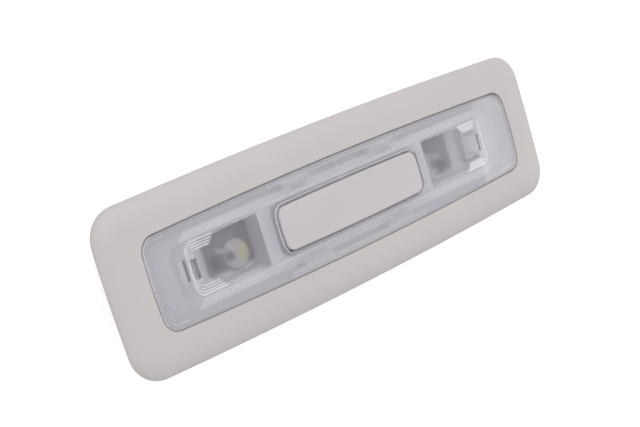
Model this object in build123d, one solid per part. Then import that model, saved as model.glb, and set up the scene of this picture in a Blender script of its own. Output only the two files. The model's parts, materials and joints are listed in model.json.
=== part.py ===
"""Car dome light: a crowned bezel, a clear lens with two lamp windows, a centre rocker and the works behind it."""
import os
from math import radians

from build123d import *

# Lens outline, bowed on all four sides
lens_length = 138.0
lens_width = 27.0
lens_long_bow = 1.35
lens_short_bow = 0.75
lens_corner = 4.0
lens_thickness = 2.0
lens_edge_round = 0.35
lens_gap = 0.4

# Bezel face, crown and the skirt that passes through the roof lining
end_margin = 10.9
side_margin = 9.9
bezel_long_bow = 1.5
bezel_short_bow = 0.5
bezel_corner = 8.6
face_height = 3.0
crown_width = 6.5
crown_height = 2.35
rim_chamfer = 0.25
rim_wall = 2.0
flange_skin = 1.9
opening_round = 0.3
skirt_wall = 1.4
skirt_depth = 17.0
ledge_width = 1.6
ledge_thickness = 1.6
crown_spare = 1.0
rib_thickness = 1.2
rib_pitch = 22.0
rib_recess = 0.3

# Catch lugs on the bezel ledge and the lens legs that snap under them
lug_x = 16.3
lug_width = 10.2
lug_reach = 1.6
leg_width = 6.0
leg_thickness = 1.1
leg_gap = 0.25
hook_reach = 0.6
hook_height = 1.1
hook_gap = 0.1

# Lens windows, their stepped ends and the rim round the rocker opening
window_gap = 0.95
window_length = 28.8
window_half_width = 7.45
window_corner = 2.6
window_recess = 0.5
terrace_count = 4
terrace_pitch = 0.72
terrace_width = 0.4
terrace_rise = 0.25
terrace_leg = 9.2
terrace_leg_step = 1.3
rim_width = 1.0
rim_rise = 0.25

# Locating tongues at the lens ends, and their guides in the light tray
tongue_inset = 1.9
tongue_thickness = 1.8
tongue_width = 5.4
tongue_depth = 5.6
tongue_gap = 0.6
guide_wall = 1.0
guide_grip = 1.0

# Rocker
rocker_length = 53.5
rocker_width = 12.8
rocker_long_bow = 0.3
rocker_short_bow = 0.4
rocker_corner = 2.6
rocker_proud = 0.5
rocker_skirt = 6.7
rocker_wall = 1.4
rocker_top_wall = 1.7
rocker_edge_round = 0.5
rocker_end_gap = 0.5
rocker_side_gap = 0.4
pivot_drop = 4.6
trunnion_radius = 1.2
trunnion_reach = 1.9
trunnion_clearance = 0.05
trunnion_end_gap = 0.25
lever_width = 5.0
prong_thickness = 1.3
fork_gap = 0.22

# Light tray
tray_gap = 0.3
tray_wall = 1.3
shelf_drop = 5.3
shelf_thickness = 1.6
well_length = 27.2
well_half_width = 7.1
well_corner = 2.0
well_draft = 4.0
well_depth = 3.5
bay_gap = 0.55
bay_wall = 1.2
collar_end = 4.2
collar_corner = 0.8
collar_gap = 0.25
divider_thickness = 1.2
ear_thickness = 1.6
ear_width = 5.6
ear_crest = 1.0

# Circuit board and its stand-offs
board_end_gap = 4.7
board_side_gap = 3.4
board_thickness = 1.6
board_corner = 1.5
board_drop = 15.6
standoff_end_inset = 5.2
standoff_inset = 2.8
standoff_radius = 2.3
screw_radius = 0.9
screw_clearance = 0.06
board_screw_head = 1.8
board_screw_head_height = 1.2
board_screw_grip = 4.0

# Lamp plates on the floors of the wells
plate_thickness = 0.8
plate_inner_gap = 0.6
plate_length = 14.8
plate_high_gap = 0.8
plate_low_gap = 2.0
plate_corner = 1.0

# Lamps
lamp_inset = 5.6
lamp_y = -1.9
socket_radius = 4.2
socket_height = 4.0
socket_floor = 1.0
bulb_base_radius = 3.0
bulb_radius = 4.3
bulb_height = 3.7
bulb_round = 0.6
bulb_gap = 0.3
bulb_fit = 0.05
phosphor_inset = 1.9
phosphor_x = 3.2
phosphor_y = 4.4
phosphor_round = 0.7
phosphor_thickness = 0.5
phosphor_proud = 0.1
driver_outset = 2.3
driver_size = 2.4
driver_round = 0.3
driver_thickness = 0.6
driver_proud = 0.1

# Slide switch that the rocker drives
switch_length = 9.6
switch_width = 4.4
switch_height = 2.2
switch_wall = 0.9
knob_thickness = 1.5
knob_width = 2.4
knob_rise = 2.2
knob_gap = 0.1
rocker_angle = 7.0
switch_pin_pitch = 2.0
switch_pin_radius = 0.35
pin_clearance = 0.08
pin_tail = 1.0

# Small parts on the board
resistor_length = 3.2
resistor_width = 1.6
resistor_height = 0.6
resistor_pitch = 3.0
resistor_count = 3
diode_length = 4.3
diode_width = 2.6
diode_height = 2.1
diode_edge = 0.4
small_part_x = 18.0
small_part_y = 4.5

# Plug socket on the back of the board
plug_lamp_gap = 1.3
plug_length = 12.4
plug_width = 8.4
plug_wall = 1.2
plug_floor = 0.8
plug_corner = 0.8
plug_pin_count = 3
plug_pin_pitch = 2.5
plug_pin_radius = 0.4
plug_pin_recess = 1.0
plug_gap = 0.3

# Rear cover and its screws
cover_thickness = 1.8
cover_lip_height = 1.6
cover_lip_wall = 1.2
cover_lip_gap = 0.3
cover_chamfer = 0.9
vent_count = 9
vent_pitch = 5.0
vent_width = 1.6
vent_length = 12.0
pad_x = 28.0
pad_inset = 3.0
pad_radius = 1.8
boss_inset_x = 3.1
boss_inset_y = 3.0
boss_radius = 2.6
boss_gap = 0.4
cover_screw_head = 1.7
cover_screw_head_height = 1.2
cover_screw_grip = 7.0
head_clearance = 0.2

# Spring clips that hold the lamp in the roof panel
clip_strip = 0.7
clip_width = 11.0
clip_top = 3.0
clip_bottom = 11.2
clip_reach = 3.6
clip_barb_drop = 6.0
clip_return = 2.2
clip_return_drop = 3.0
clip_bend = 0.9
peg_radius = 1.5
peg_drop = 7.0
peg_head = 0.5
peg_gap = 0.1

# Derived levels, measured from the flange plane at zero
lens_seat = face_height - lens_thickness
ledge_bottom = lens_seat - ledge_thickness
collar_top = lens_seat - collar_gap
shelf_top = face_height - shelf_drop
shelf_bottom = shelf_top - shelf_thickness
tongue_bottom = lens_seat + window_recess - tongue_depth
well_floor = shelf_top - well_depth
tray_bottom = well_floor - bay_wall
board_top = face_height - board_drop
board_bottom = board_top - board_thickness
cover_top = -skirt_depth
cover_bottom = cover_top - cover_thickness
rocker_top = face_height + rocker_proud
rocker_bottom = rocker_top - rocker_skirt
pivot_z = face_height - pivot_drop
switch_top = board_top + switch_height
knob_top = switch_top + knob_rise
lever_bottom = switch_top + fork_gap + knob_gap + knob_gap
fork_contact = (knob_top + lever_bottom) / 2
switch_travel = (pivot_z - fork_contact) * radians(rocker_angle)
socket_top = board_top + socket_height
bulb_top = socket_top + bulb_height

# Derived plan sizes
opening_length = lens_length + 2 * lens_gap
opening_width = lens_width + 2 * lens_gap
overall_length = opening_length + 2 * end_margin
overall_width = opening_width + 2 * side_margin
skirt_half_length = opening_length / 2 + skirt_wall
rocker_hole_length = rocker_length + 2 * rocker_end_gap
rocker_hole_width = rocker_width + 2 * rocker_side_gap
bay_half_length = rocker_hole_length / 2 + bay_gap
bay_half_width = rocker_width / 2 + rocker_side_gap + bay_gap
well_start = bay_half_length + collar_end
well_end = well_start + well_length
well_x = (well_start + well_end) / 2
lamp_x = well_start + lamp_inset
phosphor_place = lamp_x - phosphor_inset
driver_place = lamp_x + driver_outset
window_start = rocker_hole_length / 2 + window_gap
window_end = window_start + window_length
tongue_x = window_end - tongue_inset
ledge_half_width = lens_width / 2 - ledge_width
lug_inner = ledge_half_width - lug_reach
boss_x = opening_length / 2 - boss_inset_x
boss_y = opening_width / 2 - lens_long_bow - boss_inset_y
board_length = 2 * (boss_x - boss_radius - board_end_gap)
board_width = opening_width - 2 * board_side_gap
standoff_x = board_length / 2 - standoff_end_inset
standoff_y = board_width / 2 - standoff_inset
pad_y = board_width / 2 - pad_inset
plug_x = lamp_x + socket_radius + plug_lamp_gap + plug_length / 2
sides = (-1, 1)
corners = [(sx, sy) for sx in sides for sy in sides]


def bowed(length, width, long_bow, short_bow, corner):
    """Rectangle with outward-bowed sides and rounded corners, as a face at zero height."""
    x, y = length / 2, width / 2
    cx, cy = x - short_bow, y - long_bow
    edges = [
        ThreePointArc((-cx, cy), (0, y), (cx, cy)),
        ThreePointArc((cx, cy), (x, 0), (cx, -cy)),
        ThreePointArc((cx, -cy), (0, -y), (-cx, -cy)),
        ThreePointArc((-cx, -cy), (-x, 0), (-cx, cy)),
    ]
    face = make_face(edges)
    return fillet(face.vertices(), corner)


def lens_outline(grow):
    """The lens outline, grown outward by a distance."""
    return bowed(
        lens_length + 2 * grow, lens_width + 2 * grow, lens_long_bow, lens_short_bow, lens_corner + grow
    )


def bezel_outline(inset=0):
    """The bezel's outer outline, drawn in by a distance."""
    return bowed(
        overall_length - 2 * inset, overall_width - 2 * inset, bezel_long_bow, bezel_short_bow,
        bezel_corner - inset,
    )


def slab(face, bottom, top):
    """A face extruded between two heights."""
    return extrude(Pos(0, 0, bottom) * face, top - bottom, dir=(0, 0, 1))


def rod(radius, x, y, bottom, top):
    """An upright cylinder between two heights."""
    return Pos(x, y, (bottom + top) / 2) * Cylinder(radius, top - bottom)


def block(x0, x1, y0, y1, z0, z1):
    """A box between two corners."""
    return Pos((x0 + x1) / 2, (y0 + y1) / 2, (z0 + z1) / 2) * Box(abs(x1 - x0), abs(y1 - y0), abs(z1 - z0))


def bezel_face():
    """The face plate, its edge cut to a quarter-ellipse crown above a straight rim."""
    outline = bezel_outline()
    plate = slab(outline, 0, face_height)
    plate = chamfer(plate.faces().sort_by(Axis.Z)[0].outer_wire().edges(), rim_chamfer)
    rim_top = face_height - crown_height
    crown = EllipticalCenterArc((-crown_width, rim_top), crown_width, crown_height, arc_size=90)
    above = Polyline(
        crown @ 1, (-crown_width, face_height + crown_spare), (crown_spare, face_height + crown_spare),
        (crown_spare, rim_top), crown @ 0,
    )
    path = outline.face().outer_wire()
    along = path % 0
    outward = along.cross(Vector(0, 0, 1))
    if outward.dot(path @ 0) < 0:
        along, outward = -along, -outward
    start = Plane(origin=path @ 0, x_dir=outward, z_dir=-along)
    return plate - sweep(start * make_face([crown, above]), path=path)


def flange_ribs():
    """Short ribs that tie the skirt to the rim behind the crown."""
    ribs = Part()
    count = int(lens_length / rib_pitch / 2)
    half_length, half_width = overall_length / 2 - rim_wall, overall_width / 2 - rim_wall
    pocket_top = face_height - flange_skin
    for step in range(-count, count + 1):
        x = step * rib_pitch
        ribs += block(x - rib_thickness / 2, x + rib_thickness / 2, -half_width, half_width,
                      rib_recess, pocket_top)
    for side in sides:
        y = side * lens_width / 4
        ribs += block(-half_length, half_length, y - rib_thickness / 2, y + rib_thickness / 2,
                      rib_recess, pocket_top)
    return ribs


def bezel():
    """Face plate, lens seat, skirt, catch lugs, screw bosses and clip pegs, moulded in one."""
    skirt_outline = lens_outline(lens_gap + skirt_wall)
    inner = lens_outline(lens_gap)
    pocket_top = face_height - flange_skin
    pocket = slab(bezel_outline(rim_wall), 0, pocket_top) - slab(skirt_outline, 0, pocket_top)
    body = bezel_face() - (pocket - flange_ribs())
    body += slab(skirt_outline, -skirt_depth, 0)
    body -= slab(inner, -skirt_depth, face_height)
    top = body.faces().filter_by(Plane.XY).sort_by(Axis.Z)[-1]
    body = fillet(top.inner_wires().edges(), opening_round)
    body += slab(inner, ledge_bottom, lens_seat) - slab(lens_outline(-ledge_width), ledge_bottom, lens_seat)
    for sx, sy in corners:
        body += block(
            sx * lug_x - lug_width / 2, sx * lug_x + lug_width / 2,
            sy * lug_inner, sy * lens_width / 2, ledge_bottom, lens_seat,
        )
        boss = rod(boss_radius, sx * boss_x, sy * boss_y, -skirt_depth, ledge_bottom)
        pilot = rod(screw_radius + screw_clearance, sx * boss_x, sy * boss_y,
                    -skirt_depth, -skirt_depth + cover_screw_grip)
        body += boss & slab(skirt_outline, -skirt_depth, ledge_bottom)
        body -= pilot
    for side in sides:
        length = clip_strip + peg_head + skirt_wall / 2
        x = side * (skirt_half_length - skirt_wall / 2 + length / 2)
        body += Pos(x, 0, -peg_drop) * Rot(0, 90, 0) * Cylinder(peg_radius, length)
    return body


def terraces(side):
    """Nested C-shaped steps under the outer end of one lamp window, each deeper than the one outside it."""
    steps = Part()
    for number in range(terrace_count):
        inset = number * terrace_pitch
        end = window_end - inset
        half = window_half_width - inset
        leg = terrace_leg - number * terrace_leg_step
        corner = max(window_corner - inset, terrace_width * 1.2)
        outer = RectangleRounded(2 * leg, 2 * half, corner)
        inner = RectangleRounded(2 * (leg - terrace_width), 2 * (half - terrace_width), corner - terrace_width)
        ring = Pos(side * (end - leg), 0, 0) * (outer - inner)
        keep = block(side * (end - leg), side * end, -half, half, 0, lens_seat + window_recess)
        drop = terrace_rise * (number + 1)
        steps += slab(ring, lens_seat + window_recess - drop, lens_seat + window_recess) & keep
    return steps


def lens_leg(sx, sy):
    """One snap leg with a hook that catches under a bezel lug."""
    outer = sy * (lug_inner - leg_gap)
    inner = outer - sy * leg_thickness
    hook_top = ledge_bottom - hook_gap
    x0, x1 = sx * lug_x - leg_width / 2, sx * lug_x + leg_width / 2
    outline = Polyline(
        (inner, lens_seat), (outer, lens_seat), (outer, hook_top),
        (outer + sy * (hook_reach + leg_gap), hook_top), (outer, hook_top - hook_height),
        (inner, hook_top - hook_height), close=True,
    )
    section = Plane.YZ * make_face(outline)
    return Pos(x0, 0, 0) * extrude(section, x1 - x0, dir=(1, 0, 0))


def lens():
    """Clear cover plate: rim round the rocker opening, recessed windows, stepped ends, snap legs, end tongues."""
    plate = slab(lens_outline(0), lens_seat, face_height)
    plate = fillet(plate.faces().sort_by(Axis.Z)[-1].outer_wire().edges(), lens_edge_round)
    grow = 2 * rim_width
    plate += slab(
        bowed(rocker_hole_length + grow, rocker_hole_width + grow, rocker_long_bow, rocker_short_bow,
              rocker_corner + rim_width),
        lens_seat, face_height + rim_rise,
    )
    hole = bowed(rocker_hole_length, rocker_hole_width, rocker_long_bow, rocker_short_bow,
                 rocker_corner + rocker_side_gap)
    plate -= slab(hole, lens_seat, face_height + rim_rise)
    for side in sides:
        middle = side * (window_start + window_end) / 2
        window = RectangleRounded(window_end - window_start, 2 * window_half_width, window_corner)
        plate -= Pos(middle, 0, 0) * slab(window, lens_seat, lens_seat + window_recess)
        plate += terraces(side)
        plate += Pos(side * tongue_x, 0, lens_seat + window_recess - tongue_depth / 2) * Box(
            tongue_thickness, tongue_width, tongue_depth
        )
    for sx, sy in corners:
        plate += lens_leg(sx, sy)
    return plate


def rocker_cap():
    """Hollow rocker with two trunnions and a forked lever that reaches down to the slide switch."""
    shell = slab(
        bowed(rocker_length, rocker_width, rocker_long_bow, rocker_short_bow, rocker_corner),
        rocker_bottom, rocker_top,
    )
    shell = fillet(shell.faces().sort_by(Axis.Z)[-1].outer_wire().edges(), rocker_edge_round)
    hollow = bowed(rocker_length - 2 * rocker_wall, rocker_width - 2 * rocker_wall, rocker_long_bow,
                   rocker_short_bow, rocker_corner - rocker_wall)
    shell -= slab(hollow, rocker_bottom, rocker_top - rocker_top_wall)
    slot = knob_thickness / 2 + fork_gap
    lever = block(-slot - prong_thickness, slot + prong_thickness, -lever_width / 2, lever_width / 2,
                  lever_bottom, rocker_top - rocker_top_wall)
    lever -= block(-slot, slot, -lever_width / 2, lever_width / 2, lever_bottom, knob_top + 2 * fork_gap)
    shell += lever
    web = rocker_wall / 2
    for side in sides:
        shell += block(-web, web, side * lever_width / 2, side * (rocker_width / 2 - rocker_wall / 2),
                       rocker_bottom, rocker_top - rocker_top_wall)
        reach = trunnion_reach + rocker_wall
        middle = side * (rocker_width / 2 - rocker_wall + reach / 2)
        shell += Pos(0, middle, pivot_z) * Rot(90, 0, 0) * Cylinder(trunnion_radius, reach)
    return shell


def tray_well(side):
    """Tapered lamp well: its outer block and the space inside it."""
    outer = RectangleRounded(well_length + 2 * bay_wall, 2 * (well_half_width + bay_wall), well_corner + bay_wall)
    inner = RectangleRounded(well_length, 2 * well_half_width, well_corner)
    place = Pos(side * well_x, 0, 0)
    solid = place * slab(outer, tray_bottom, shelf_top)
    space = extrude(place * Pos(0, 0, shelf_top) * inner, -well_depth, dir=(0, 0, 1), taper=well_draft)
    return solid, space


def rocker_bay():
    """Collar that rises round the rocker to the lens, with a divider rib each side, and the space inside it."""
    x, y = bay_half_length, bay_half_width
    space = slab(RectangleRounded(2 * x, 2 * y, rocker_corner), tray_bottom, collar_top)
    outer = RectangleRounded(2 * (x + collar_end), 2 * (y + bay_wall), collar_corner)
    solid = slab(outer, tray_bottom, collar_top)
    for side in sides:
        solid -= block(side * (x + bay_wall), side * (well_start - bay_wall), -y, y,
                       tray_bottom, collar_top - bay_wall)
    solid += block(-divider_thickness / 2, divider_thickness / 2, -ledge_half_width, ledge_half_width,
                   shelf_bottom, ledge_bottom)
    return solid, space


def tongue_guide(side):
    """Low four-sided guide on the floor of one well, which the lens tongue drops into."""
    x, y = tongue_thickness / 2 + tongue_gap, tongue_width / 2 + tongue_gap
    top = tongue_bottom + guide_grip
    space = block(-x, x, -y, y, well_floor, top)
    x, y = x + guide_wall, y + guide_wall
    return Pos(side * tongue_x, 0, 0) * (block(-x, x, -y, y, well_floor, top) - space)


def tray_ear(side):
    """Bearing ear that carries one rocker trunnion."""
    inner = side * (rocker_width / 2 + trunnion_end_gap)
    outer = inner + side * ear_thickness
    crest = pivot_z + trunnion_radius + ear_crest
    ear = block(-ear_width / 2, ear_width / 2, inner, outer, tray_bottom, pivot_z)
    place = Pos(0, (inner + outer) / 2, pivot_z) * Rot(90, 0, 0)
    return ear + place * Cylinder(crest - pivot_z, ear_thickness)


def tray_bore():
    """Space for both trunnions, cut through the ears."""
    length = rocker_width + 2 * (trunnion_reach + trunnion_end_gap)
    return Pos(0, 0, pivot_z) * Rot(90, 0, 0) * Cylinder(trunnion_radius + trunnion_clearance, length)


def light_tray():
    """Inner moulding: shelf, two lamp wells, the rocker collar with its bearing ears and the board stand-offs."""
    outline = lens_outline(lens_gap - tray_gap)
    tray = slab(outline, shelf_bottom, ledge_bottom)
    tray -= slab(lens_outline(lens_gap - tray_gap - tray_wall), shelf_top, ledge_bottom)
    solid, space = rocker_bay()
    tray += solid
    spaces = [space]
    for side in sides:
        solid, space = tray_well(side)
        tray += solid
        spaces.append(space)
        spaces.append(rod(bulb_radius + bulb_gap, side * lamp_x, lamp_y, tray_bottom, well_floor))
    for sx, sy in corners:
        tray += rod(standoff_radius, sx * standoff_x, sy * standoff_y, board_top, shelf_bottom)
    for space in spaces:
        tray -= space
    for side in sides:
        tray += tongue_guide(side)
        tray += tray_ear(side)
    tray -= tray_bore()
    for sx, sy in corners:
        tray -= rod(screw_radius + screw_clearance, sx * standoff_x, sy * standoff_y,
                    board_top, board_top + board_screw_grip)
        tray -= rod(boss_radius + boss_gap, sx * boss_x, sy * boss_y, shelf_bottom, ledge_bottom)
    return tray


def switch_pin_places():
    """Plan positions of the slide switch's solder pins."""
    return [(step * switch_pin_pitch, 0) for step in (-1, 0, 1)]


def plug_pin_places():
    """Plan positions of the plug socket's pins."""
    first = -(plug_pin_count - 1) / 2
    return [(plug_x + (first + step) * plug_pin_pitch, 0) for step in range(plug_pin_count)]


def circuit_board():
    """Board with holes for the pins and the four screws."""
    board = slab(RectangleRounded(board_length, board_width, board_corner), board_bottom, board_top)
    for x, y in switch_pin_places():
        board -= rod(switch_pin_radius + pin_clearance, x, y, board_bottom, board_top)
    for x, y in plug_pin_places():
        board -= rod(plug_pin_radius + pin_clearance, x, y, board_bottom, board_top)
    for sx, sy in corners:
        board -= rod(screw_radius + screw_clearance, sx * standoff_x, sy * standoff_y, board_bottom, board_top)
    return board


def screw(x, y, head_bottom, head_radius, head_height, grip):
    """Pan-head screw that enters from below."""
    head = rod(head_radius, x, y, head_bottom, head_bottom + head_height)
    head = chamfer(head.faces().sort_by(Axis.Z)[0].edges(), head_height / 3)
    head -= Pos(x, y, head_bottom) * Box(head_radius * 1.2, head_height / 2, head_height)
    head -= Pos(x, y, head_bottom) * Box(head_height / 2, head_radius * 1.2, head_height)
    return head + rod(screw_radius, x, y, head_bottom + head_height, head_bottom + head_height + grip)


def board_screws():
    """Four screws that hold the board to the tray."""
    grip = board_thickness + board_screw_grip - screw_clearance
    head_bottom = board_bottom - board_screw_head_height
    return [
        screw(sx * standoff_x, sy * standoff_y, head_bottom, board_screw_head, board_screw_head_height, grip)
        for sx, sy in corners
    ]


def cover_screws():
    """Four screws that hold the rear cover to the bezel bosses."""
    grip = cover_thickness - cover_screw_head_height + cover_screw_grip - screw_clearance
    return [
        screw(sx * boss_x, sy * boss_y, cover_bottom, cover_screw_head, cover_screw_head_height, grip)
        for sx, sy in corners
    ]


def lamp_socket(side):
    """Round holder on the board that takes the base of one bulb."""
    body = rod(socket_radius, side * lamp_x, lamp_y, board_top, socket_top)
    body = fillet(body.faces().sort_by(Axis.Z)[-1].edges(), bulb_round)
    return body - rod(bulb_base_radius + bulb_fit, side * lamp_x, lamp_y, board_top + socket_floor, socket_top)


def phosphor_outline(grow=0):
    """Plan of an emitter patch, grown outward by a distance."""
    return RectangleRounded(phosphor_x + 2 * grow, phosphor_y + 2 * grow, phosphor_round + grow)


def driver_outline(grow=0):
    """Plan of a driver chip, grown outward by a distance."""
    return RectangleRounded(driver_size + 2 * grow, driver_size + 2 * grow, driver_round + grow)


def led_bulb(side):
    """Plug-in lamp body: a base in the socket and a low round head with seats for emitter and driver."""
    x = side * lamp_x
    head = rod(bulb_radius, x, lamp_y, socket_top, bulb_top)
    head = fillet(head.faces().sort_by(Axis.Z)[-1].edges(), bulb_round)
    body = head + rod(bulb_base_radius, x, lamp_y, board_top + socket_floor, socket_top)
    floor = bulb_top + phosphor_proud - phosphor_thickness
    body -= Pos(side * phosphor_place, lamp_y, 0) * slab(phosphor_outline(bulb_fit), floor, bulb_top)
    floor = bulb_top + driver_proud - driver_thickness
    return body - Pos(side * driver_place, lamp_y, 0) * slab(driver_outline(bulb_fit), floor, bulb_top)


def led_phosphor(side):
    """Emitter patch let into the head of one lamp, on the side towards the rocker."""
    top = bulb_top + phosphor_proud
    return Pos(side * phosphor_place, lamp_y, 0) * slab(phosphor_outline(), top - phosphor_thickness, top)


def led_driver(side):
    """Driver chip let into the head of one lamp, beside the emitter."""
    top = bulb_top + driver_proud
    return Pos(side * driver_place, lamp_y, 0) * slab(driver_outline(), top - driver_thickness, top)


def lamp_plate(side):
    """Heat-spreading plate on the floor of one well, notched round the lamp's head."""
    start = well_start + plate_inner_gap
    end = start + plate_length
    low, high = -well_half_width + plate_low_gap, well_half_width - plate_high_gap
    outline = RectangleRounded(end - start, high - low, plate_corner)
    top = well_floor + plate_thickness
    plate = Pos(side * (start + end) / 2, (low + high) / 2, 0) * slab(outline, well_floor, top)
    return plate - rod(bulb_radius + bulb_gap, side * lamp_x, lamp_y, well_floor, top)


def slide_switch_body():
    """Low switch case with a track for its knob."""
    case = slab(Rectangle(switch_length, switch_width), board_top, switch_top)
    track_length = knob_thickness + 2 * (switch_travel + knob_gap)
    track = Rectangle(track_length, knob_width + 2 * knob_gap)
    return case - slab(track, board_top + switch_wall, switch_top)


def slide_switch_knob():
    """Sliding knob that stands up into the rocker's fork."""
    knob = slab(Rectangle(knob_thickness, knob_width), board_top + switch_wall + knob_gap, knob_top)
    return fillet(knob.faces().sort_by(Axis.Z)[-1].edges(), knob_thickness / 5)


def slide_switch_pins():
    """Solder pins of the slide switch."""
    return [rod(switch_pin_radius, x, y, board_bottom - pin_tail, board_top) for x, y in switch_pin_places()]


def series_resistors():
    """Chip resistors in a row on the board."""
    first = -(resistor_count - 1) / 2
    chip = slab(Rectangle(resistor_width, resistor_length), board_top, board_top + resistor_height)
    return [
        Pos(-small_part_x + (first + step) * resistor_pitch, small_part_y, 0) * chip
        for step in range(resistor_count)
    ]


def reverse_diode():
    """Moulded diode that guards against a reversed supply."""
    case = slab(Rectangle(diode_length, diode_width), board_top, board_top + diode_height)
    case = chamfer(case.faces().sort_by(Axis.Z)[-1].edges(), diode_edge)
    return Pos(small_part_x, small_part_y, 0) * case


def plug_socket():
    """Shrouded socket for the wiring plug, open at the back of the lamp."""
    shroud = slab(RectangleRounded(plug_length, plug_width, plug_corner), cover_bottom, board_bottom)
    mouth = Rectangle(plug_length - 2 * plug_wall, plug_width - 2 * plug_wall)
    shroud -= slab(mouth, cover_bottom, board_bottom - plug_floor)
    shroud = Pos(plug_x, 0, 0) * shroud
    for x, y in plug_pin_places():
        shroud -= rod(plug_pin_radius + pin_clearance, x, y, board_bottom - plug_floor, board_bottom)
    return shroud


def plug_pins():
    """Contact pins of the plug socket, soldered through the board."""
    bottom = cover_bottom + plug_pin_recess
    return [rod(plug_pin_radius, x, y, bottom, board_top + pin_tail / 2) for x, y in plug_pin_places()]


def rear_cover():
    """Back plate with a locating lip, vents, board pads, a window for the plug and sunk screw seats."""
    plate = slab(lens_outline(lens_gap + skirt_wall), cover_bottom, cover_top)
    plate = chamfer(plate.faces().sort_by(Axis.Z)[0].outer_wire().edges(), cover_chamfer)
    lip_grow = lens_gap - cover_lip_gap
    lip = slab(lens_outline(lip_grow), cover_top, cover_top + cover_lip_height)
    lip -= slab(lens_outline(lip_grow - cover_lip_wall), cover_top, cover_top + cover_lip_height)
    for sx, sy in corners:
        lip -= rod(boss_radius + boss_gap, sx * boss_x, sy * boss_y, cover_top, cover_top + cover_lip_height)
    plate += lip
    for sx, sy in corners:
        x, y = sx * boss_x, sy * boss_y
        plate -= rod(screw_radius + screw_clearance, x, y, cover_bottom, cover_top)
        plate -= rod(cover_screw_head + head_clearance, x, y, cover_bottom, cover_bottom + cover_screw_head_height)
        plate += rod(pad_radius, sx * pad_x, sy * pad_y, cover_top, board_bottom)
    window = RectangleRounded(plug_length + 2 * plug_gap, plug_width + 2 * plug_gap, plug_corner)
    plate -= Pos(plug_x, 0, 0) * slab(window, cover_bottom, cover_top)
    first = -(vent_count - 1) / 2
    for step in range(vent_count):
        vent = SlotOverall(vent_length, vent_width, rotation=90)
        plate -= Pos((first + step) * vent_pitch, 0, 0) * slab(vent, cover_bottom, cover_top)
    return plate


def roof_clip(side):
    """Folded spring strip: a flat leg on the skirt end, a bend at its foot and a barbed outer leg."""
    inner = skirt_half_length + clip_strip / 2
    points = [
        (inner, -clip_top),
        (inner, -clip_bottom),
        (inner + 2 * clip_bend, -clip_bottom),
        (inner + clip_reach, -clip_barb_drop),
        (inner + clip_reach - clip_return, -clip_return_drop),
    ]
    line = FilletPolyline(*points, radius=clip_bend * 0.9)
    section = Plane.XZ * trace(line, clip_strip)
    strip = extrude(section, clip_width / 2, both=True)
    hole = Pos(inner, 0, -peg_drop) * Rot(0, 90, 0) * Cylinder(peg_radius + peg_gap, 2 * clip_strip)
    strip -= hole
    return strip if side > 0 else mirror(strip, Plane.YZ)


def export(name, shape):
    """Write one node; a list of equal solids becomes one group."""
    solids = Compound(children=list(shape)) if isinstance(shape, list) else shape
    export_step(solids, f"parts/{name}.step")


def main():
    os.makedirs("parts", exist_ok=True)
    export("bezel", bezel())
    export("lens", lens())
    export("rocker_cap", rocker_cap())
    export("light_tray", light_tray())
    export("circuit_board", circuit_board())
    export("board_screws", board_screws())
    export("slide_switch_body", slide_switch_body())
    export("slide_switch_knob", slide_switch_knob())
    export("slide_switch_pins", slide_switch_pins())
    export("series_resistors", series_resistors())
    export("reverse_diode", reverse_diode())
    export("plug_socket", plug_socket())
    export("plug_pins", plug_pins())
    export("rear_cover", rear_cover())
    export("cover_screws", cover_screws())
    for name, side in (("left", -1), ("right", 1)):
        export(f"{name}_lamp_socket", lamp_socket(side))
        export(f"{name}_led_bulb", led_bulb(side))
        export(f"{name}_led_phosphor", led_phosphor(side))
        export(f"{name}_led_driver", led_driver(side))
        export(f"{name}_lamp_plate", lamp_plate(side))
        export(f"{name}_roof_clip", roof_clip(side))


main()
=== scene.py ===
"""Looks of the car dome light: lens moulding, small trim, finishes, floor, light and camera."""

import json
from math import acos, atan2, cos, hypot, pi, radians, sin

import bmesh
import bpy
import numpy as np
from mathutils import Matrix, Vector
from mathutils.geometry import delaunay_2d_cdt


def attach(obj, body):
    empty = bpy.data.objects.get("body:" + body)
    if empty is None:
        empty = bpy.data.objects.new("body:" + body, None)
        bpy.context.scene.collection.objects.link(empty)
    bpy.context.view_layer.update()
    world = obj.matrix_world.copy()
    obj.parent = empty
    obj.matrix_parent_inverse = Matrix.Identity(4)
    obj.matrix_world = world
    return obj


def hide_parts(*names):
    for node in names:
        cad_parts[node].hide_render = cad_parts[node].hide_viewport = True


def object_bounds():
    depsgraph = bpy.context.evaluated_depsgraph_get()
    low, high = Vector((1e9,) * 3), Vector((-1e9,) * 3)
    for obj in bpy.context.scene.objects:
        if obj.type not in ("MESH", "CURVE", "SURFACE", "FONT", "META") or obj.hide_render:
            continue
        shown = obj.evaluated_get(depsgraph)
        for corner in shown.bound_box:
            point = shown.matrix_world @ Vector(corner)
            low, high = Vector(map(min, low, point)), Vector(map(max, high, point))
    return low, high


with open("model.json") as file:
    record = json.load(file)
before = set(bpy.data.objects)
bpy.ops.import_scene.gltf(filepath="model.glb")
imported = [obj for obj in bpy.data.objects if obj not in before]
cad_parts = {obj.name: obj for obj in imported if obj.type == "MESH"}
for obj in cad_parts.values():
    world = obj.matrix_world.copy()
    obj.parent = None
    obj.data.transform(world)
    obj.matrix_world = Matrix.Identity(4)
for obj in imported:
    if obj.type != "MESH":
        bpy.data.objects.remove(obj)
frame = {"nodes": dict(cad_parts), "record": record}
cad_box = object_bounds()
nodes = frame["nodes"]
scene = bpy.context.scene

# Sizes of the lens and the trim are in millimetres, and their meshes in metres
PER_METRE = 1000
CORNERS = [(sx, sy) for sx in (-1, 1) for sy in (-1, 1)]

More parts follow.
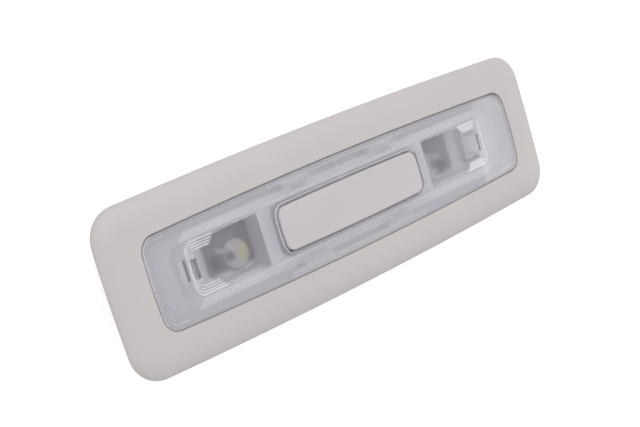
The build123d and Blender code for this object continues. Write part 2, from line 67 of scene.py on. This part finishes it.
# Outlines: length, width, bow of the long sides, bow of the short sides, corner radius
LENS_OUTLINE = (138, 27, 1.35, 0.75, 4.0)
HOLE_OUTLINE = (54.5, 13.6, 0.3, 0.4, 3.0)
SHORT_POINTS, CORNER_POINTS, LONG_POINTS = 8, 10, 40

# Outer and inner face, rounded edges, and the raised rim round the rocker's opening
FACE, SEAT = 3.0, 1.03
EDGE_ROUND, HOLE_ROUND = 0.35, 0.15
EDGE_LOOPS, HOLE_LOOPS = (0, 0.05, 0.15, EDGE_ROUND), (0, 0.05, HOLE_ROUND)
RIM_WIDTH, RIM_RISE, RIM_SLOPE = 0.5, 0.25, 0.14

# Recessed windows, and the angle left out at each end of a corner
WINDOW_START, WINDOW_END, WINDOW_HALF, WINDOW_CORNER = 28.2, 57.0, 7.45, 2.6
WINDOW_POINTS, WINDOW_SKIP = 8, 0.02
WINDOW_RECESS, WINDOW_SLOPE = 0.5, 0.12

# Nested C-shaped steps at the windows' outer ends, and the ends of the right ones frosted solid as
# a painted highlight of their glints
STEP_COUNT, STEP_PITCH, STEP_WIDTH, STEP_RISE, STEP_SLOPE = 4, 0.72, 0.42, 0.25, 0.08
STEP_GAP, STEP_CORNER, STEP_POINTS = 0.1, 0.6, 6
STEP_LEG, STEP_LEG_LESS = 9.2, 1.3
GLINT_BLOCK_END, GLINT_BLOCK_INNER = 54.3, 4.3

# Tongues under the windows' outer ends, and the smooth places beside them
TONGUE_START, TONGUE_END, TONGUE_HALF, TONGUE_DEPTH = 54.2, 56.0, 2.7, 5.6
WALL_SLOPE, WALL_PART = 0.04, 0.36
SIGHT_START, SIGHT_END, SIGHT_MARGIN = 57.35, 58.25, 0.6

# Snap legs with a hook at the foot
LEG_X, LEG_WIDTH, LEG_INNER, LEG_OUTER, LEG_DEPTH = 16.3, 6.0, 8.95, 10.05, 2.8
HOOK_TOP, HOOK_HEIGHT, HOOK_REACH, LEG_ROOT = -0.7, 1.1, 0.85, 0.05

# Diamond prisms at the ends, slanted prisms beside the windows and the rocker
PRISM_PITCH, PRISM_DEPTH, PRISM_START, PRISM_MARGIN = 1.0, 0.06, 58.8, 0.15
RIDGE_PITCH, RIDGE_DEPTH, RIDGE_END = 0.48, 0.03, 58.0
RIDGE_INNER, RIDGE_OUTER, RIDGE_DECIMALS = 7.8, 10.2, 4

# Bands along the long edges, where their finish stops, and the groove inside the short ends
BAND_WIDTH, BAND_END, BAND_MARGIN = 2.0, 62.0, 0.1
FINISH_END, FINISH_LINE = 26.5, (12.6, 11.4)
GROOVE_START, GROOVE_END, GROOVE_SLOPE, GROOVE_DEPTH = 1.0, 1.3, 0.06, 0.12

# Numbers of the finishes, in the order of LENS_FINISHES
SMOOTH, PRISM, FROST_AND_HIGHLIGHT, HAZE, EDGE_SHADOW, BAND, CUT, PAINTED_WHITE_HIGHLIGHT = range(8)
MERGE_DISTANCE = 1e-4


def arc(centre, radius, start, end, count):
    """Points along an arc, without its last one."""
    turns = [start + (end - start) * k / count for k in range(count)]
    return [(centre[0] + radius * cos(t), centre[1] + radius * sin(t)) for t in turns]


def mirrored(quarter):
    """A closed loop from its first quadrant, which runs from the x axis to the y axis."""
    half = quarter + [(-x, y) for x, y in reversed(quarter)]
    return np.array(half + [(-x, -y) for x, y in half])


def bowed(length, width, long_bow, short_bow, corner):
    """Rectangle with bowed sides and rounded corners."""
    x, y = length / 2, width / 2
    long_r = ((x - short_bow) ** 2 + long_bow ** 2) / (2 * long_bow)
    short_r = ((y - long_bow) ** 2 + short_bow ** 2) / (2 * short_bow)
    low, left = y - long_r, x - short_r
    apart = hypot(left, low)
    near, far = short_r - corner, long_r - corner
    swing = acos((near ** 2 + apart ** 2 - far ** 2) / (2 * near * apart))
    turns = (atan2(low, -left) + swing, atan2(low, -left) - swing)
    mid = max(((left + near * cos(t), near * sin(t)) for t in turns), key=min)
    start, end = atan2(mid[1], mid[0] - left), atan2(mid[1] - low, mid[0])
    last = pi / 2 - (pi / 2 - end) / (2 * LONG_POINTS)
    quarter = arc((left, 0), short_r, start / (2 * SHORT_POINTS), start, SHORT_POINTS)
    quarter += arc(mid, corner, start, end, CORNER_POINTS)
    quarter += arc((0, low), long_r, end, last, LONG_POINTS)
    return mirrored(quarter)


def rounded(x0, x1, half, corner):
    """Rectangle with rounded corners between two x places, centred across."""
    mid, reach = (x0 + x1) / 2, (x1 - x0) / 2
    middle = (reach - corner, half - corner)
    quarter = arc(middle, corner, WINDOW_SKIP, pi / 2 - WINDOW_SKIP, WINDOW_POINTS)
    return mirrored(quarter) + (mid, 0)


def box_loop(x0, x1, y0, y1):
    """Four corners of a rectangle."""
    return np.array([(x0, y0), (x1, y0), (x1, y1), (x0, y1)], float)


def grown(loop, distance):
    """A loop moved outward along its normals."""
    along = np.roll(loop, -1, 0) - np.roll(loop, 1, 0)
    out = np.column_stack((along[:, 1], -along[:, 0]))
    return loop + distance * out / np.linalg.norm(out, axis=1)[:, None]


def ribbon(line, half):
    """Closed loop round a line, half its width to each side."""
    along = np.gradient(line, axis=0)
    out = np.column_stack((along[:, 1], -along[:, 0]))
    out /= np.linalg.norm(out, axis=1)[:, None]
    return np.vstack((line + half * out, (line - half * out)[::-1]))


def away(points, line, closed=True):
    """Distance of each point from a line."""
    ends = np.roll(line, -1, 0) if closed else line[1:]
    starts = line if closed else line[:-1]
    best = np.full(len(points), np.inf)
    for a, b in zip(starts, ends):
        run = b - a
        t = np.clip((points - a) @ run / (run @ run), 0, 1)
        best = np.minimum(best, np.linalg.norm(points - a - t[:, None] * run, axis=1))
    return best


def within(points, loop):
    """True for each point inside a loop."""
    x, y = points.T
    inside = np.zeros(len(points), bool)
    for (ax, ay), (bx, by) in zip(loop, np.roll(loop, -1, 0)):
        crosses = (ay > y) != (by > y)
        with np.errstate(divide="ignore", invalid="ignore"):
            inside ^= crosses & (x < (bx - ax) * (y - ay) / (by - ay) + ax)
    return inside


def depth_in(points, loop):
    """How far each point lies inside a loop, or zero."""
    return np.where(within(points, loop), away(points, loop), 0)


def quarter_round(distance, radius):
    """Drop of a rounded edge at a distance from that edge."""
    reach = radius - np.minimum(distance, radius)
    return radius - np.sqrt(radius ** 2 - reach ** 2)


def step_line(side, number):
    """Centre line of one C-shaped step at the outer end of a window."""
    inset = WINDOW_SLOPE + STEP_GAP + STEP_WIDTH / 2 + number * STEP_PITCH
    end, half = WINDOW_END - inset, WINDOW_HALF - inset
    corner = max(WINDOW_CORNER - inset, STEP_CORNER)
    start = end - STEP_LEG + number * STEP_LEG_LESS
    top = arc((end - corner, half - corner), corner, 0, pi / 2, STEP_POINTS)
    top += [(end - corner, half), (start, half)]
    line = list(reversed(top)) + [(x, -y) for x, y in top]
    return np.array([(side * x, y) for x, y in line])


class Lens:
    """Outlines of the lens, and the heights, finishes and mesh that follow from them."""

    def __init__(self):
        self.edge = bowed(*LENS_OUTLINE)
        self.hole = bowed(*HOLE_OUTLINE)
        self.rim = grown(self.hole, RIM_WIDTH)
        self.windows, self.steps, self.tongues, self.sights = [], [], [], []
        for side in (-1, 1):
            ends = sorted((side * WINDOW_START, side * WINDOW_END))
            self.windows.append(rounded(*ends, WINDOW_HALF, WINDOW_CORNER))
            for number in range(STEP_COUNT):
                self.steps.append((step_line(side, number), STEP_RISE * (number + 1)))
            ends = sorted((side * TONGUE_START, side * TONGUE_END))
            self.tongues.append(box_loop(*ends, -TONGUE_HALF, TONGUE_HALF))
            ends = sorted((side * SIGHT_START, side * SIGHT_END))
            half = TONGUE_HALF + SIGHT_MARGIN
            self.sights.append(box_loop(*ends, -half, half))

    def top(self, points):
        """Height of the outer face."""
        z = FACE - quarter_round(away(points, self.edge), EDGE_ROUND)
        z += RIM_RISE * np.minimum(depth_in(points, self.rim) / RIM_SLOPE, 1)
        return z - quarter_round(away(points, self.hole), HOLE_ROUND)

    def underside(self, points):
        """Height of the inner face, without its prisms."""
        z = np.full(len(points), SEAT)
        for window in self.windows:
            z += WINDOW_RECESS * np.minimum(depth_in(points, window) / WINDOW_SLOPE, 1)
        pane = SEAT + WINDOW_RECESS
        for line, drop in self.steps:
            rise = np.clip((STEP_WIDTH / 2 - away(points, line, False)) / STEP_SLOPE, 0, 1)
            z = np.minimum(z, np.where(rise > 0, pane - drop * rise, z))
        for tongue in self.tongues:
            fall = np.minimum(depth_in(points, tongue) / WALL_SLOPE, 1)
            z = np.minimum(z, pane - TONGUE_DEPTH * fall)
        inset = away(points, self.edge)
        rise = np.minimum(inset - GROOVE_START, GROOVE_END - inset) / GROOVE_SLOPE
        at_end = np.abs(points[:, 0]) > BAND_END
        return z + GROOVE_DEPTH * np.clip(rise, 0, 1) * at_end

    def in_band(self, points, width, reach):
        """True near a long edge, as far along it as a reach from the middle."""
        return (away(points, self.edge) < width) & (np.abs(points[:, 0]) < reach)

    def prisms(self):
        """Diamond prisms at the lens' ends: the peak and the four corners of each."""
        half = PRISM_PITCH / 2
        nx, ny = (int(size / 2 / half) for size in LENS_OUTLINE[:2])
        places = [(i, j) for i in range(-nx, nx + 1) for j in range(-ny, ny + 1)]
        points = np.array(places) * half
        free = within(points, grown(self.edge, -GROOVE_END - PRISM_MARGIN))
        free &= ~self.in_band(points, BAND_WIDTH + BAND_MARGIN, BAND_END)
        free &= np.abs(points[:, 0]) > PRISM_START
        open_places = {p for p, ok in zip(places, free) if ok}
        cells = []
        for i, j in places:
            corners = [(i + 1, j), (i, j + 1), (i - 1, j), (i, j - 1)]
            if (i + j) % 2 == 0 and {(i, j), *corners} <= open_places:
                cells.append(((i * half, j * half), [(a * half, b * half) for a, b in corners]))
        return cells

    def ridges(self):
        """Slanted prisms beside the windows and the rocker: the peak and the corners of each."""
        slant = RIDGE_OUTER - RIDGE_INNER
        count = int(RIDGE_END / RIDGE_PITCH)
        cells = []
        for sy in (-1, 1):
            y0, y1 = sorted((sy * RIDGE_INNER, sy * RIDGE_OUTER))
            for x0 in np.arange(-count, count) * RIDGE_PITCH:
                x1, mid = x0 + RIDGE_PITCH, x0 + RIDGE_PITCH / 2
                corners = [(x0, y0), (x1, y0), (x1 + slant, y1), (x0 + slant, y1)]
                corners = [(round(x, RIDGE_DECIMALS), round(y, RIDGE_DECIMALS)) for x, y in corners]
                if x1 + slant < RIDGE_END:
                    cells.append(((mid + slant / 2, (y0 + y1) / 2), corners))
        return cells

    def plan(self):
        """Points and edges that the triangles keep, and which points are peaks of prisms."""
        points, edges = [], []

        def keep(loop):
            first, count = len(points), len(loop)
            points.extend(map(tuple, loop))
            edges.extend((first + k, first + (k + 1) % count) for k in range(count))

        groove = (GROOVE_START, GROOVE_START + GROOVE_SLOPE,
                  GROOVE_END - GROOVE_SLOPE, GROOVE_END)
        for inset in (*EDGE_LOOPS, *groove, BAND_WIDTH):
            keep(grown(self.edge, -inset))
        for out in (*HOLE_LOOPS, RIM_WIDTH - RIM_SLOPE, RIM_WIDTH):
            keep(grown(self.hole, out))
        for sx, sy in CORNERS:
            keep([(sx * FINISH_END, sy * y) for y in FINISH_LINE])
        for window in self.windows:
            keep(window)
            keep(grown(window, -WINDOW_SLOPE))
        for line, _ in self.steps:
            keep(ribbon(line, STEP_WIDTH / 2))
            keep(ribbon(line, STEP_WIDTH / 2 - STEP_SLOPE))
        for loop in self.tongues:
            keep(loop)
            for inset in (WALL_PART * WALL_SLOPE, WALL_SLOPE):
                (x0, y0), (x1, y1) = loop.min(0) + inset, loop.max(0) - inset
                keep(box_loop(x0, x1, y0, y1))
        for loop in self.sights:
            keep(loop)
        index, peaks = {}, set()
        for centre, corners in self.prisms() + self.ridges():
            for place in (centre, *corners):
                if place not in index:
                    index[place] = len(points)
                    points.append(place)
            peaks.add(index[centre])
            for k in range(4):
                edges.append((index[corners[k]], index[corners[(k + 1) % 4]]))
                edges.append((index[centre], index[corners[k]]))
        return points, edges, peaks

    def finishes(self, centres):
        """Finish of the underside at each place, before the slanted prisms get theirs."""
        x, y = centres.T
        kinds = np.full(len(centres), PRISM)
        inset = away(centres, self.edge)
        kinds[(inset > GROOVE_START) & (inset < GROOVE_END) & (np.abs(x) > BAND_END)] = HAZE
        kinds[self.in_band(centres, BAND_WIDTH, FINISH_END)] = BAND
        for window in self.windows:
            inside = within(centres, window)
            kinds[inside] = HAZE
            # The window's slope gets the frost finish, partly real frosting and partly a painted
            # highlight of its glints
            kinds[inside & (away(centres, window) < WINDOW_SLOPE)] = FROST_AND_HIGHLIGHT
        # Only the right window's step ends are frosted across the whole pitch, as solid white
        # blocks: a painted highlight of their glints
        painted_glint_block = (x > 0) & (x < GLINT_BLOCK_END) & (np.abs(y) > GLINT_BLOCK_INNER)
        for line, _ in self.steps:
            off = away(centres, line, False)
            # Step faces get the frost finish, partly real frosting and partly a painted highlight
            # of their glints
            kinds[off < STEP_WIDTH / 2] = FROST_AND_HIGHLIGHT
            kinds[(off < STEP_PITCH / 2) & painted_glint_block] = FROST_AND_HIGHLIGHT
        for loop in self.tongues:
            kinds[within(centres, loop)] = SMOOTH
            depth = depth_in(centres, loop) / WALL_SLOPE
            outer = np.abs(x) > TONGUE_END - WALL_SLOPE
            kinds[outer & (depth > 0) & (depth < WALL_PART)] = FROST_AND_HIGHLIGHT
            # The lower part of the right tongue's inner wall is painted near-opaque white, a
            # painted highlight on the right side only
            painted_highlight_wall = (x > 0) & (x < TONGUE_START + WALL_SLOPE)
            kinds[painted_highlight_wall & (depth > 0) & (depth < 1)] = PAINTED_WHITE_HIGHLIGHT
        for loop in self.sights:
            kinds[within(centres, loop)] = SMOOTH
        return kinds

    def snap_legs(self):
        """The snap legs and the hooks at their feet, as corners and faces."""
        box = [(3, 2, 1, 0), (4, 5, 6, 7), (0, 1, 5, 4), (1, 2, 6, 5), (2, 3, 7, 6), (3, 0, 4, 7)]
        wedge = [(0, 2, 1), (3, 4, 5), (0, 1, 4, 3), (1, 2, 5, 4), (2, 0, 3, 5)]
        verts, faces = [], []
        for sx, sy in CORNERS:
            first = len(verts)
            x0, x1 = sx * LEG_X - LEG_WIDTH / 2, sx * LEG_X + LEG_WIDTH / 2
            y0, y1 = sorted((sy * LEG_INNER, sy * LEG_OUTER))
            for z in (SEAT - LEG_DEPTH, SEAT + LEG_ROOT):
                verts += [(x0, y0, z), (x1, y0, z), (x1, y1, z), (x0, y1, z)]
            faces += [tuple(first + k for k in face) for face in box]
            first = len(verts)
            root, tip = sy * (LEG_OUTER - LEG_ROOT), sy * (LEG_OUTER + HOOK_REACH)
            low = HOOK_TOP - HOOK_HEIGHT
            for x in (x0, x1):
                verts += [(x, root, HOOK_TOP), (x, tip, HOOK_TOP), (x, root, low)]
            for face in wedge:
                faces.append(tuple(first + k for k in (face if sy > 0 else reversed(face))))
        return verts, faces

    def mesh(self, name):
        """The closed mesh of the lens with its snap legs, in metres."""
        points, edges, peaks = self.plan()
        places = [Vector(p) for p in points]
        found = delaunay_2d_cdt(places, edges, [], 0, MERGE_DISTANCE, True)
        flat, faces, sources = np.array(found[0]), np.array(found[2]), found[3]
        centres = flat[faces].mean(1)
        kept = within(centres, self.edge) & ~within(centres, self.hole)
        faces, centres = faces[kept], centres[kept]
        top, low = self.top(flat), self.underside(flat)
        peak = np.array([bool(peaks.intersection(s)) for s in sources])
        slanted = np.abs(flat[:, 0]) < PRISM_START
        low += peak * np.where(slanted, RIDGE_DEPTH, PRISM_DEPTH)

        count, total = len(flat), len(faces)
        verts = np.vstack((np.column_stack((flat, top)), np.column_stack((flat, low))))
        polys = [tuple(map(int, f)) for f in faces]
        polys += [tuple(int(v) + count for v in reversed(f)) for f in faces]
        sides = {(a, b) for f in faces for a, b in zip(f, np.roll(f, -1))}
        walls = [(int(a), int(b)) for a, b in sides if (b, a) not in sides]
        polys += [(b, a, a + count, b + count) for a, b in walls]
        corners, legs = self.snap_legs()
        polys += [tuple(2 * count + k for k in face) for face in legs]
        verts = np.vstack((verts, corners)) / PER_METRE
        data = bpy.data.meshes.new(name)
        data.from_pydata(verts.tolist(), [], polys)

        kinds = self.finishes(centres)
        tips = (peak & slanted)[faces]
        ridge = tips.any(1)
        slant = RIDGE_OUTER - RIDGE_INNER
        along = flat[faces[ridge, tips[ridge].argmax(1)], 0] - slant / 2
        kinds[ridge] = np.where(np.floor(along / RIDGE_PITCH) % 2 > 0, PRISM, CUT)
        slots = np.full(len(polys), SMOOTH)
        rim_highlight = within(centres, self.rim) & (away(centres, self.rim) < RIM_SLOPE)
        # The rim's top slope gets the frost finish, a painted highlight line round the rocker's
        # opening
        slots[:total][rim_highlight] = FROST_AND_HIGHLIGHT
        slots[total:2 * total] = kinds
        # The side walls round the lens' outline and round the rocker's opening get a dark finish, a
        # painted shadow of the gaps beside them
        slots[2 * total:-len(legs)] = EDGE_SHADOW
        slots[-len(legs):] = PRISM
        data.polygons.foreach_set("material_index", slots)
        data.validate()
        return data


# Noise values at which a colour or a gloss reaches its two ends
NOISE_LOW, NOISE_HIGH = 0.3, 0.7

# Plastic: scale of its colour drift, then its fine grain
DRIFT_SCALE = 35
GRAIN_SCALE, GRAIN_DETAIL, GRAIN_GLOSS = 2600, 3, 0.05
GRAIN_STRENGTH, GRAIN_HEIGHT = 0.12, 0.00004
CLEAR_IOR = 1.49

# Metal: patches in the plating, then its brushing
PATCH_SCALE, PATCH_SHADE = 300, 0.85
BRUSH_SCALE, BRUSH_DETAIL, BRUSH_GLOSS = 900, 4, 0.08


def srgb(r, g, b):
    """Linear colour from eight-bit display values, by the sRGB curve."""
    shares = [v / 255 for v in (r, g, b)]
    return (*(s / 12.92 if s <= 0.04045 else ((s + 0.055) / 1.055) ** 2.4 for s in shares), 1.0)


def new_material(name):
    """A material with its node tree and Principled shader."""
    mat = bpy.data.materials.new(name)
    mat.use_nodes = True
    return mat, mat.node_tree, mat.node_tree.nodes["Principled BSDF"]


def node(tree, kind, **values):
    """A new node with values set on its inputs by name."""
    made = tree.nodes.new("ShaderNode" + kind)
    for key, value in values.items():
        made.inputs[key.replace("_", " ")].default_value = value
    return made


def noise(tree, scale, detail=2.0):
    """Noise over the object's own coordinates."""
    place = node(tree, "TexCoord")
    made = node(tree, "TexNoise", Scale=scale, Detail=detail)
    tree.links.new(place.outputs["Object"], made.inputs["Vector"])
    return made.outputs["Fac"]


def spread(tree, source, low, high):
    """Noise spread over a range of values."""
    made = node(tree, "MapRange", From_Min=NOISE_LOW, From_Max=NOISE_HIGH, To_Min=low, To_Max=high)
    tree.links.new(source, made.inputs["Value"])
    return made.outputs["Result"]


def between(tree, source, first, second):
    """A colour between two, by noise."""
    ramp = node(tree, "ValToRGB")
    stops = zip(ramp.color_ramp.elements, (NOISE_LOW, NOISE_HIGH), (first, second))
    for stop, position, colour in stops:
        stop.position, stop.color = position, colour
    tree.links.new(source, ramp.inputs["Fac"])
    return ramp.outputs["Color"]


def plastic(name, colour, other, roughness):
    """Moulded plastic: a slight drift of colour, and a fine grain in its gloss and surface."""
    mat, tree, shader = new_material(name)
    drift = between(tree, noise(tree, DRIFT_SCALE), srgb(*colour), srgb(*other))
    tree.links.new(drift, shader.inputs["Base Color"])
    fine = noise(tree, GRAIN_SCALE, GRAIN_DETAIL)
    gloss = spread(tree, fine, roughness - GRAIN_GLOSS, roughness + GRAIN_GLOSS)
    tree.links.new(gloss, shader.inputs["Roughness"])
    bump = node(tree, "Bump", Strength=GRAIN_STRENGTH, Distance=GRAIN_HEIGHT)
    tree.links.new(fine, bump.inputs["Height"])
    tree.links.new(bump.outputs["Normal"], shader.inputs["Normal"])
    return mat


def metal(name, colour, roughness):
    """Plated metal with fine brushing."""
    mat, tree, shader = new_material(name)
    shader.inputs["Metallic"].default_value = 1.0
    pale = srgb(*colour)
    dark = (*(PATCH_SHADE * c for c in pale[:3]), 1)
    tree.links.new(between(tree, noise(tree, PATCH_SCALE), pale, dark), shader.inputs["Base Color"])
    fine = noise(tree, BRUSH_SCALE, BRUSH_DETAIL)
    gloss = spread(tree, fine, roughness - BRUSH_GLOSS, roughness + BRUSH_GLOSS)
    tree.links.new(gloss, shader.inputs["Roughness"])
    return mat


def clear(name, tint, pane_tint, roughness, transmission):
    """Clear plastic that lets the studio light through to what lies behind it."""
    mat, tree, shader = new_material(name)
    shader.inputs["Base Color"].default_value = (*tint, 1)
    shader.inputs["Roughness"].default_value = roughness
    shader.inputs["IOR"].default_value = CLEAR_IOR
    shader.inputs["Transmission Weight"].default_value = transmission
    pane = node(tree, "BsdfTransparent", Color=(*pane_tint, 1))
    path = node(tree, "LightPath")
    last = shader.outputs[0]
    for ray in ("Is Diffuse Ray", "Is Shadow Ray"):
        mix = node(tree, "MixShader")
        tree.links.new(path.outputs[ray], mix.inputs[0])
        tree.links.new(last, mix.inputs[1])
        tree.links.new(pane.outputs[0], mix.inputs[2])
        last = mix.outputs[0]
    tree.links.new(last, tree.nodes["Material Output"].inputs["Surface"])
    return mat


# Plastics: two colours to drift between, as display values, and roughness
PLASTICS = {
    "bezel_plastic": ((195, 190, 189), (198, 193, 192), 0.5),
    "rocker_plastic": ((196, 191, 194), (199, 194, 197), 0.5),
    "tray_plastic": ((191, 188, 191), (194, 191, 194), 0.5),
    "board_laminate": ((38, 82, 58), (46, 94, 66), 0.35),
    "black_plastic": ((40, 40, 42), (48, 48, 50), 0.45),
    "chip_resistor": ((42, 42, 46), (54, 54, 58), 0.3),
    "plug_plastic": ((226, 222, 210), (232, 228, 217), 0.4),
    "cover_plastic": ((190, 187, 186), (196, 193, 192), 0.5),
    "socket_plastic": ((176, 176, 178), (184, 184, 186), 0.45),
    "bulb_body": ((164, 163, 164), (170, 169, 170), 0.35),
    "phosphor": ((172, 164, 136), (182, 174, 146), 0.4),
    "lamp_plate": ((110, 108, 116), (116, 114, 122), 0.4),
    "driver_chip": ((90, 90, 100), (98, 98, 108), 0.4),
    "finger_plastic": ((146, 145, 148), (152, 151, 154), 0.4),
}
# Metals: colour as display values, and roughness
METALS = {
    "screw_steel": ((190, 190, 192), 0.32),
    "switch_case": ((196, 196, 198), 0.3),
    "tinned_pin": ((214, 210, 196), 0.28),
    "spring_steel": ((158, 160, 164), 0.3),
}
# Finishes of the lens: tint, tint of the light let through, roughness and transmission
PANE_TINT, HIGHLIGHT_TINT = (0.965, 0.968, 0.98), (0.97, 0.97, 0.98)
LENS_FINISHES = {
    "lens_clear": ((0.935, 0.935, 0.965), PANE_TINT, 0.02, 1.0),
    "lens_prism": ((0.58, 0.57, 0.615), (0.85, 0.85, 0.87), 0.4, 0.5),
    # The frost finish is partly a real frosted texture and partly a painted highlight: its white
    # scatter stands in for the glints on step edges and on window and rim slopes
    "lens_frost": (HIGHLIGHT_TINT, HIGHLIGHT_TINT, 0.4, 0.35),
    "lens_haze": ((0.93, 0.925, 0.955), PANE_TINT, 0.31, 1.0),
    # The edge finish is tinted dark as a painted shadow of the gaps along the lens' walls
    "lens_edge": ((0.46, 0.45, 0.48), (0.7, 0.7, 0.72), 0.3, 0.6),
    "lens_band": ((0.68, 0.675, 0.715), (0.9, 0.9, 0.92), 0.36, 0.62),
    "lens_cut": ((0.84, 0.835, 0.865), (0.95, 0.95, 0.97), 0.4, 0.46),
    # The last finish is near-opaque white, a painted highlight on the right tongue's inner wall
    "lens_white": (HIGHLIGHT_TINT, HIGHLIGHT_TINT, 0.4, 0.05),
}
materials = {}
for make, table in ((plastic, PLASTICS), (metal, METALS), (clear, LENS_FINISHES)):
    materials.update({name: make(name, *values) for name, values in table.items()})

slots = {part["node"]: part["material_slot"] for part in frame["record"]["subparts"]}
slots["left_led_driver"] = slots["right_led_driver"] = "driver_chip"
for name, obj in nodes.items():
    obj.data.materials.clear()
    obj.data.materials.append(materials[slots[name]])

lens = bpy.data.objects.new("lens_moulding", Lens().mesh("lens_moulding"))
scene.collection.objects.link(lens)
for name in LENS_FINISHES:
    lens.data.materials.append(materials[name])
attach(lens, "lamp")
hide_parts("lens")

# Trim on each lamp plate: a finger that holds the lamp head down, and a regulator chip
PLATE_TOP, TRIM_ROUND, TRIM_SEGMENTS = -5.0, 0.08, 2
FINGER_WIDTH, FINGER_HEIGHT, FINGER_LIFT = 1.7, 0.6, 0.15
END_CUT, TIP_CUT = (0.25, 0.2), (0.2, 0.15)
CHIP_WIDTH, CHIP_FOOT, CHIP_TOP, CHIP_HEIGHT = 3.0, 1.5, 1.4, 0.7

# Fingers: lamp head's centre, direction in degrees, and how far tip, foot and end lie from it
FINGERS = {
    "left": ((-37.6, -1.9), 155, (3.6, 4.7, 7.5)),
    "right": ((35.9, 2.2), -19, (3.4, 6.3, 7.6)),
}
CHIPS = {"left": (-44.3, -2.2), "right": (43.8, -3.4)}


def moulding(name, profile, width, centre, angle, material):
    """A small part on a lamp plate: a side profile along a direction, with rounded edges."""
    ux, uy = cos(angle), sin(angle)
    form = bmesh.new()
    ends = []
    for across in (-width / 2, width / 2):
        corners = [(centre[0] + ux * r - uy * across, centre[1] + uy * r + ux * across,
                    PLATE_TOP + z) for r, z in profile]
        ends.append([form.verts.new([c / PER_METRE for c in corner]) for corner in corners])
        form.faces.new(ends[-1])
    for k in range(len(profile)):
        form.faces.new((ends[0][k - 1], ends[0][k], ends[1][k], ends[1][k - 1]))
    bmesh.ops.recalc_face_normals(form, faces=form.faces)
    bmesh.ops.bevel(form, geom=form.edges, offset=TRIM_ROUND / PER_METRE, segments=TRIM_SEGMENTS,
                    profile=0.5, affect="EDGES")
    mesh = bpy.data.meshes.new(name)
    form.to_mesh(mesh)
    form.free()
    made = bpy.data.objects.new(name, mesh)
    scene.collection.objects.link(made)
    mesh.materials.append(material)
    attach(made, "lamp")


for side, (centre, turn, (tip, foot, end)) in FINGERS.items():
    profile = [(foot, 0), (end, 0), (end, FINGER_HEIGHT - END_CUT[1]),
               (end - END_CUT[0], FINGER_HEIGHT), (tip + TIP_CUT[0], FINGER_HEIGHT),
               (tip, FINGER_HEIGHT - TIP_CUT[1]), (tip, FINGER_LIFT), (foot, FINGER_LIFT)]
    moulding(f"{side}_lamp_finger", profile, FINGER_WIDTH, centre, radians(turn),
             materials["finger_plastic"])
for side, centre in CHIPS.items():
    profile = [(-CHIP_FOOT, 0), (CHIP_FOOT, 0), (CHIP_TOP, CHIP_HEIGHT), (-CHIP_TOP, CHIP_HEIGHT)]
    moulding(f"{side}_regulator_chip", profile, CHIP_WIDTH, centre, 0,
             materials["driver_chip"])

# Floor, sky and lights, in metres: each light has its place, size and power
FLOOR_SIZE, FLOOR_GAP, FLOOR_GREY, FLOOR_GLOW = 6, 0.0001, 0.8, 0.62
SKY_LIGHT, SKY_SEEN = 0.52, 1.0
LIGHTS = {
    "key": ((0.05, 0.42, 0.78), 0.6, 3.55),
    "fill": ((-0.72, 0.05, 0.36), 0.4, 1.0),
    "side": ((0.82, -0.12, 0.47), 0.4, 0.85),
}

# Camera, in metres: its place, the place it looks at, its roll in degrees
EYE, AIM = (-0.214701, 0.054174, 0.262232), (-0.01282, 0.00019, 0.003)
ROLL, FOCAL_LENGTH, CLIP_START = 84.72, 68.85, 0.01


def seen(tree):
    """One for camera, mirror and glass rays, and zero for the rays that light the object."""
    path = node(tree, "LightPath")
    last = path.outputs["Is Camera Ray"]
    for ray in ("Is Glossy Ray", "Is Transmission Ray"):
        either = node(tree, "Math")
        either.operation = "MAXIMUM"
        tree.links.new(last, either.inputs[0])
        tree.links.new(path.outputs[ray], either.inputs[1])
        last = either.outputs[0]
    return last


def floor_material():
    """Pale matt floor that camera, mirror and glass rays see as white, with the shadow kept."""
    mat, tree, shader = new_material("floor_white")
    tree.nodes.remove(shader)
    matt = node(tree, "BsdfDiffuse", Color=(FLOOR_GREY, FLOOR_GREY, FLOOR_GREY, 1))
    level = node(tree, "Math")
    level.operation = "MULTIPLY"
    level.inputs[1].default_value = FLOOR_GLOW
    tree.links.new(seen(tree), level.inputs[0])
    glow = node(tree, "Emission")
    tree.links.new(level.outputs[0], glow.inputs["Strength"])
    both = node(tree, "AddShader")
    tree.links.new(matt.outputs[0], both.inputs[0])
    tree.links.new(glow.outputs[0], both.inputs[1])
    tree.links.new(both.outputs[0], tree.nodes["Material Output"].inputs["Surface"])
    return mat


def softbox(name, location, size, power):
    """A square area light that faces the object."""
    light = bpy.data.lights.new(name, "AREA")
    light.size, light.energy = size, power
    obj = bpy.data.objects.new(name, light)
    obj.location = location
    obj.rotation_euler = (-Vector(location)).to_track_quat("-Z", "Y").to_euler()
    scene.collection.objects.link(obj)


bpy.ops.mesh.primitive_plane_add(size=FLOOR_SIZE, location=(0, 0, cad_box[0][2] - FLOOR_GAP))
floor = bpy.context.object
floor.name = "floor"
floor.data.materials.append(floor_material())

scene.world = bpy.data.worlds.new("studio")
scene.world.use_nodes = True
tree = scene.world.node_tree
sky = tree.nodes["Background"]
sky.inputs["Color"].default_value = (1, 1, 1, 1)
level = node(tree, "MapRange", To_Min=SKY_LIGHT, To_Max=SKY_SEEN)
tree.links.new(seen(tree), level.inputs["Value"])
tree.links.new(level.outputs["Result"], sky.inputs["Strength"])

for name, values in LIGHTS.items():
    softbox(name, *values)

camera = bpy.data.objects.new("camera", bpy.data.cameras.new("camera"))
scene.collection.objects.link(camera)
camera.data.lens = FOCAL_LENGTH
camera.data.clip_start = CLIP_START
turn = (Vector(AIM) - Vector(EYE)).to_track_quat("-Z", "Y").to_matrix().to_4x4()
roll = Matrix.Rotation(radians(ROLL), 4, "Z")
camera.matrix_world = Matrix.Translation(EYE) @ turn @ roll
scene.camera = camera

scene.view_settings.view_transform = "Standard"
